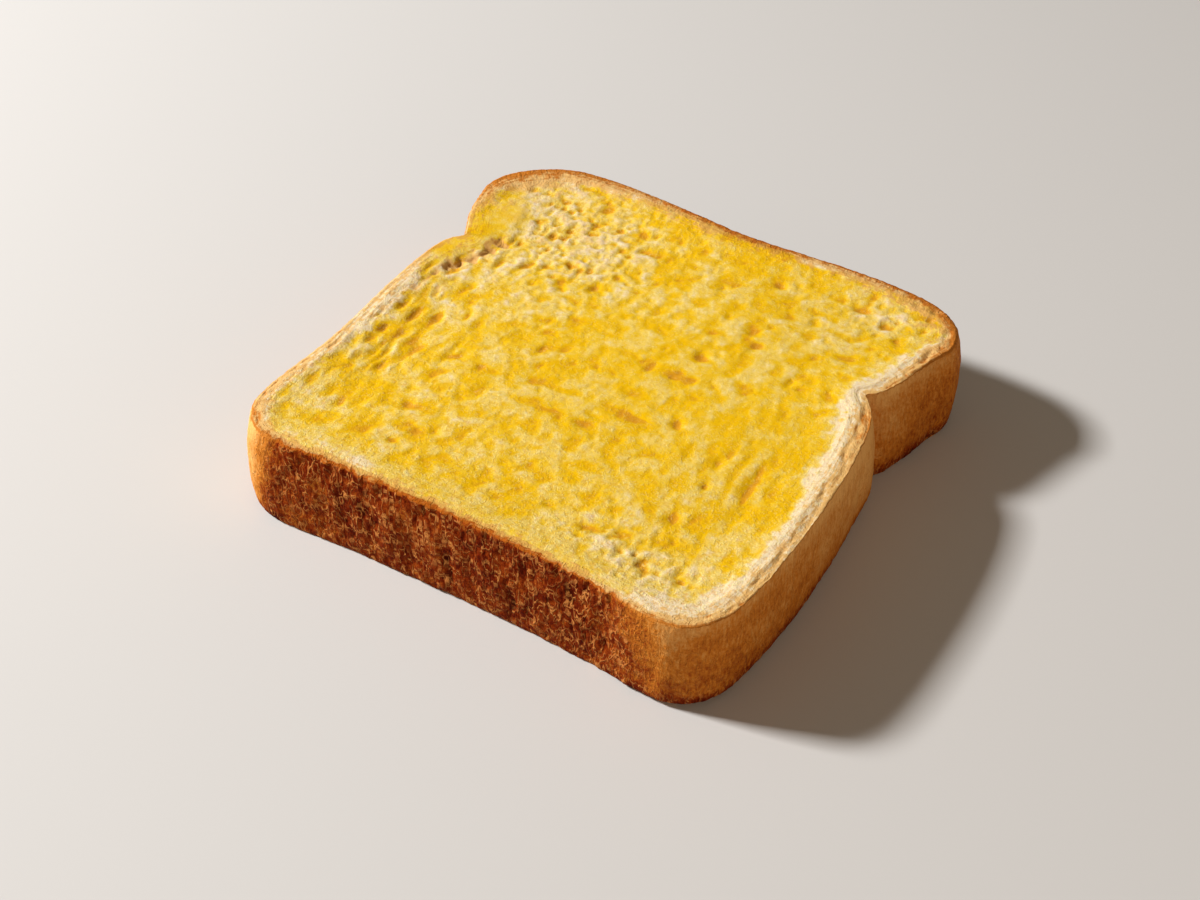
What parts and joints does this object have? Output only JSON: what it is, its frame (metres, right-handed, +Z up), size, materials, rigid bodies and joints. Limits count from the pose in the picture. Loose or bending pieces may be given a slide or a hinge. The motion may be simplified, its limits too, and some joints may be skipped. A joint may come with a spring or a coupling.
{
  "type": "texas toast",
  "caption": "Thick square-loaf slice of buttered toast lying on its cut face, with a slightly dished golden crumb, a pinched notch on each side, round lobes at the crown and a browned crust.",
  "frame": {"origin": "centre of the slice's box, on the cut face that it rests on", "axes": "+Z up through the thickness; +Y from the dark base crust towards the crown with its two lobes; +X to the right along the base crust"},
  "size_m": [0.1227, 0.117, 0.0248],
  "materials": {
    "toast": "buttered golden crumb inside a browned crust"
  },
  "bodies": {
    "root": {"toast_slice": "toast"}
  },
  "joints": []
}
